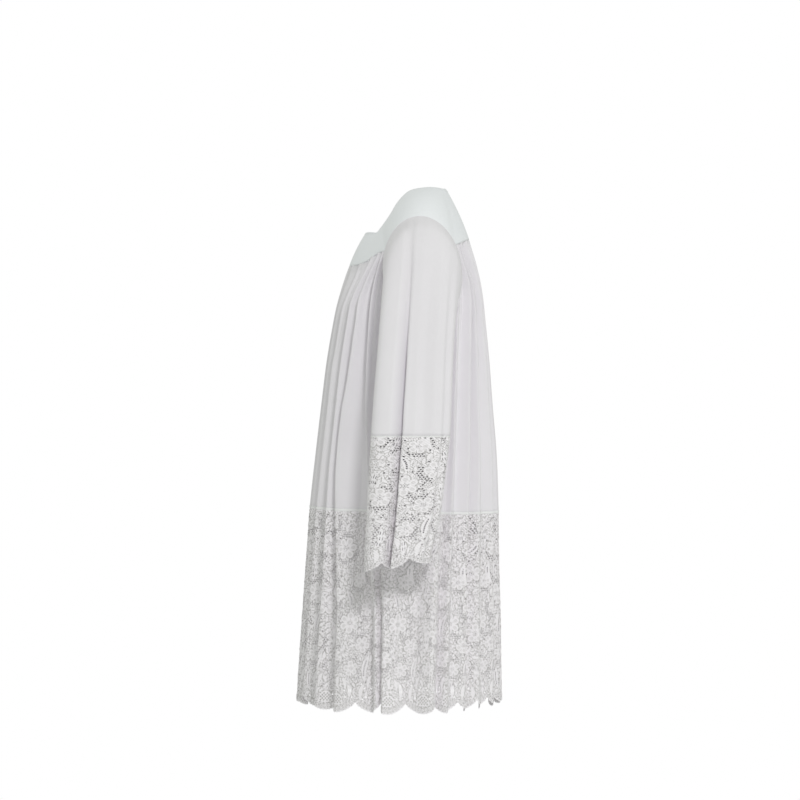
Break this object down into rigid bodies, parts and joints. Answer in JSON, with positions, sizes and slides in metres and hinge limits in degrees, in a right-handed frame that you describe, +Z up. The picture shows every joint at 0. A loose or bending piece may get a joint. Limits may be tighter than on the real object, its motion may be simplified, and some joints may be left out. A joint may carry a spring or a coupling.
{
  "type": "lace surplice",
  "caption": "White knee-length surplice with a square-necked yoke, pleated front and back, wide long sleeves and deep scalloped lace borders, hanging as worn.",
  "frame": {"origin": "where the wearer's shoulders carry the yoke, on the centre line, a little behind the neck opening's middle", "axes": "+Z up along the wearer, -Y towards the wearer's front, +X towards the wearer's left"},
  "size_m": [0.7704, 0.396, 0.986],
  "materials": {
    "cloth": "white plain-weave cotton and polyester cloth, matt",
    "lace": "white machine lace with flowers and leaves on an open net"
  },
  "bodies": {
    "root": {"yoke": "cloth", "body_front": "cloth", "body_back": "cloth", "sleeve_left": "cloth", "sleeve_right": "cloth", "hem_lace_front": "lace", "hem_lace_back": "lace", "sleeve_lace_left_outer": "lace", "sleeve_lace_left_inner": "lace", "sleeve_lace_right_outer": "lace", "sleeve_lace_right_inner": "lace"}
  },
  "joints": []
}
